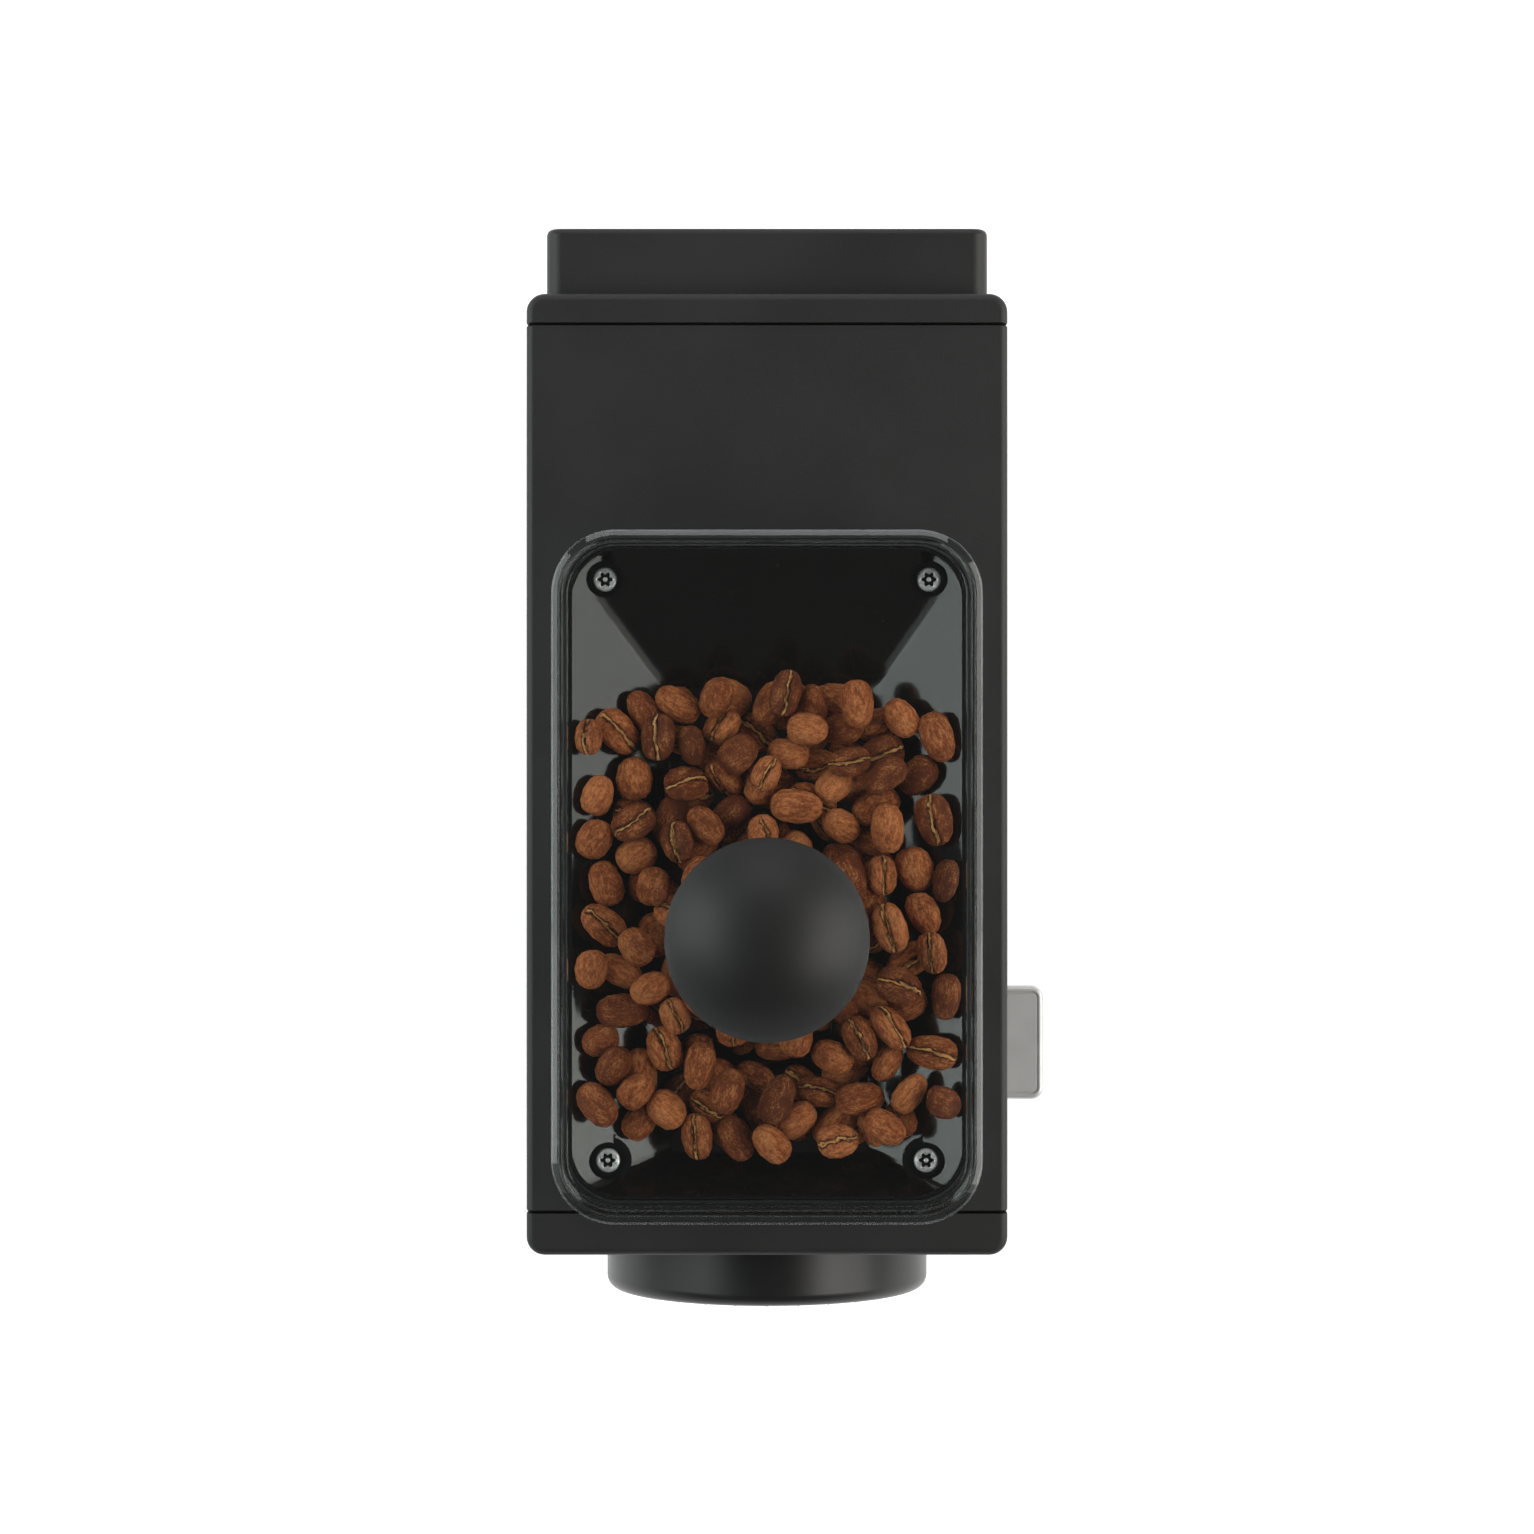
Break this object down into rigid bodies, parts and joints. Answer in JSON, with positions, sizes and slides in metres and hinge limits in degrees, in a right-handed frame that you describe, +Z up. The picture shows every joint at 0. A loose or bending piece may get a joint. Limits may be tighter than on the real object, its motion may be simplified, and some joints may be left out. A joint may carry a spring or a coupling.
{
  "type": "burr coffee grinder",
  "caption": "Electric burr coffee grinder: box body on a rear leg and base, clear-walled bean hopper with a domed lid knob, front grind dial, side knocker and catch cup.",
  "frame": {"origin": "on the resting plane, under the middle of the body box", "axes": "+Z up, -Y towards the front with the dial, +X towards the right side with the knocker"},
  "size_m": [0.1203, 0.2398, 0.2507],
  "materials": {
    "body_coat": "matte black powder coat",
    "cover_plastic": "matte black",
    "black_plastic": "satin black",
    "tray_plastic": "polished dark grey",
    "clear_plastic": "clear, polished",
    "chrome": "polished",
    "steel": "machined",
    "aluminium": "die cast",
    "brass": "sintered",
    "copper": "enamelled copper wire",
    "rubber": "moulded",
    "board": "green solder mask"
  },
  "bodies": {
    "chassis": {"auger_bearing": "brass", "base_magnet": "steel", "base_pad": "rubber", "base_plate": "body_coat", "board_capacitor": "black_plastic", "board_transformer": "steel", "body_tube": "body_coat", "burr_chamber": "aluminium", "button_bezel": "chrome", "chute": "black_plastic", "control_board": "board", "cord_gland": "rubber", "cover_screw_1": "steel", "cover_screw_2": "steel", "detent_ring": "steel", "field_magnet_left": "steel", "field_magnet_right": "steel", "front_cap": "body_coat", "hopper_screw_1": "steel", "hopper_screw_2": "steel", "hopper_screw_3": "steel", "hopper_screw_4": "steel", "hopper_tray": "tray_plastic", "hopper_wall": "clear_plastic", "knocker_bracket": "black_plastic", "knocker_pin": "steel", "knocker_spring": "steel", "leg_shell": "body_coat", "motor_can": "steel", "motor_end_plate": "aluminium", "motor_front_bearing": "steel", "motor_rear_bearing": "steel", "rear_cap": "body_coat", "rear_cover": "cover_plastic", "start_switch": "black_plastic"},
    "lid": {"lid_plate": "clear_plastic", "lid_knob": "black_plastic", "lid_knob_screw": "steel"},
    "drive_train": {"drive_shaft": "steel", "auger": "steel", "burr_hub": "aluminium", "rotating_burr": "steel", "rotating_burr_screw_1": "steel", "rotating_burr_screw_2": "steel", "rotating_burr_screw_3": "steel", "rotor": "copper", "cooling_fan": "black_plastic"},
    "adjuster": {"adjust_carrier": "aluminium", "fixed_burr": "steel", "fixed_burr_screw_1": "steel", "fixed_burr_screw_2": "steel", "fixed_burr_screw_3": "steel"},
    "grind_dial": {"dial": "black_plastic", "detent_plunger": "brass"},
    "knocker": {"knocker_lever": "chrome"},
    "button": {"start_button": "steel", "button_spring": "steel"},
    "cup": {"catch_cup": "body_coat"}
  },
  "joints": [
    {"name": "lid_lift", "type": "slide", "parent": "chassis", "child": "lid", "axis": [0, 0, 1], "range_m": [0, 0.08]},
    {"name": "drive_spin", "type": "hinge", "parent": "chassis", "child": "drive_train", "pos_m": [0, 0, 0.165], "axis": [0, -1, 0], "continuous": true},
    {"name": "dial_turn", "type": "hinge", "parent": "chassis", "child": "grind_dial", "pos_m": [0, -0.1193, 0.165], "axis": [0, -1, 0], "range_deg": [-150, 150]},
    {"name": "burr_adjust", "type": "slide", "parent": "chassis", "child": "adjuster", "axis": [0, 1, 0], "range_m": [-0.0008, 0.0008]},
    {"name": "button_press", "type": "slide", "parent": "chassis", "child": "button", "axis": [-1, 0, 0], "range_m": [0, 0.002], "stiffness_N_per_m": 600, "springref_m": -0.002},
    {"name": "knocker_flick", "type": "hinge", "parent": "chassis", "child": "knocker", "pos_m": [0.03, -0.0675, 0.107], "axis": [0, 1, 0], "range_deg": [0, 16], "stiffness_Nm_per_rad": 0.4, "springref_deg": -20.05},
    {"name": "cup_slide", "type": "slide", "parent": "chassis", "child": "cup", "axis": [0, -1, 0], "range_m": [0, 0.12]}
  ],
  "couplings": [
    {"joint": "burr_adjust", "follows": "dial_turn", "m_per_rad": 0.00028648}
  ]
}
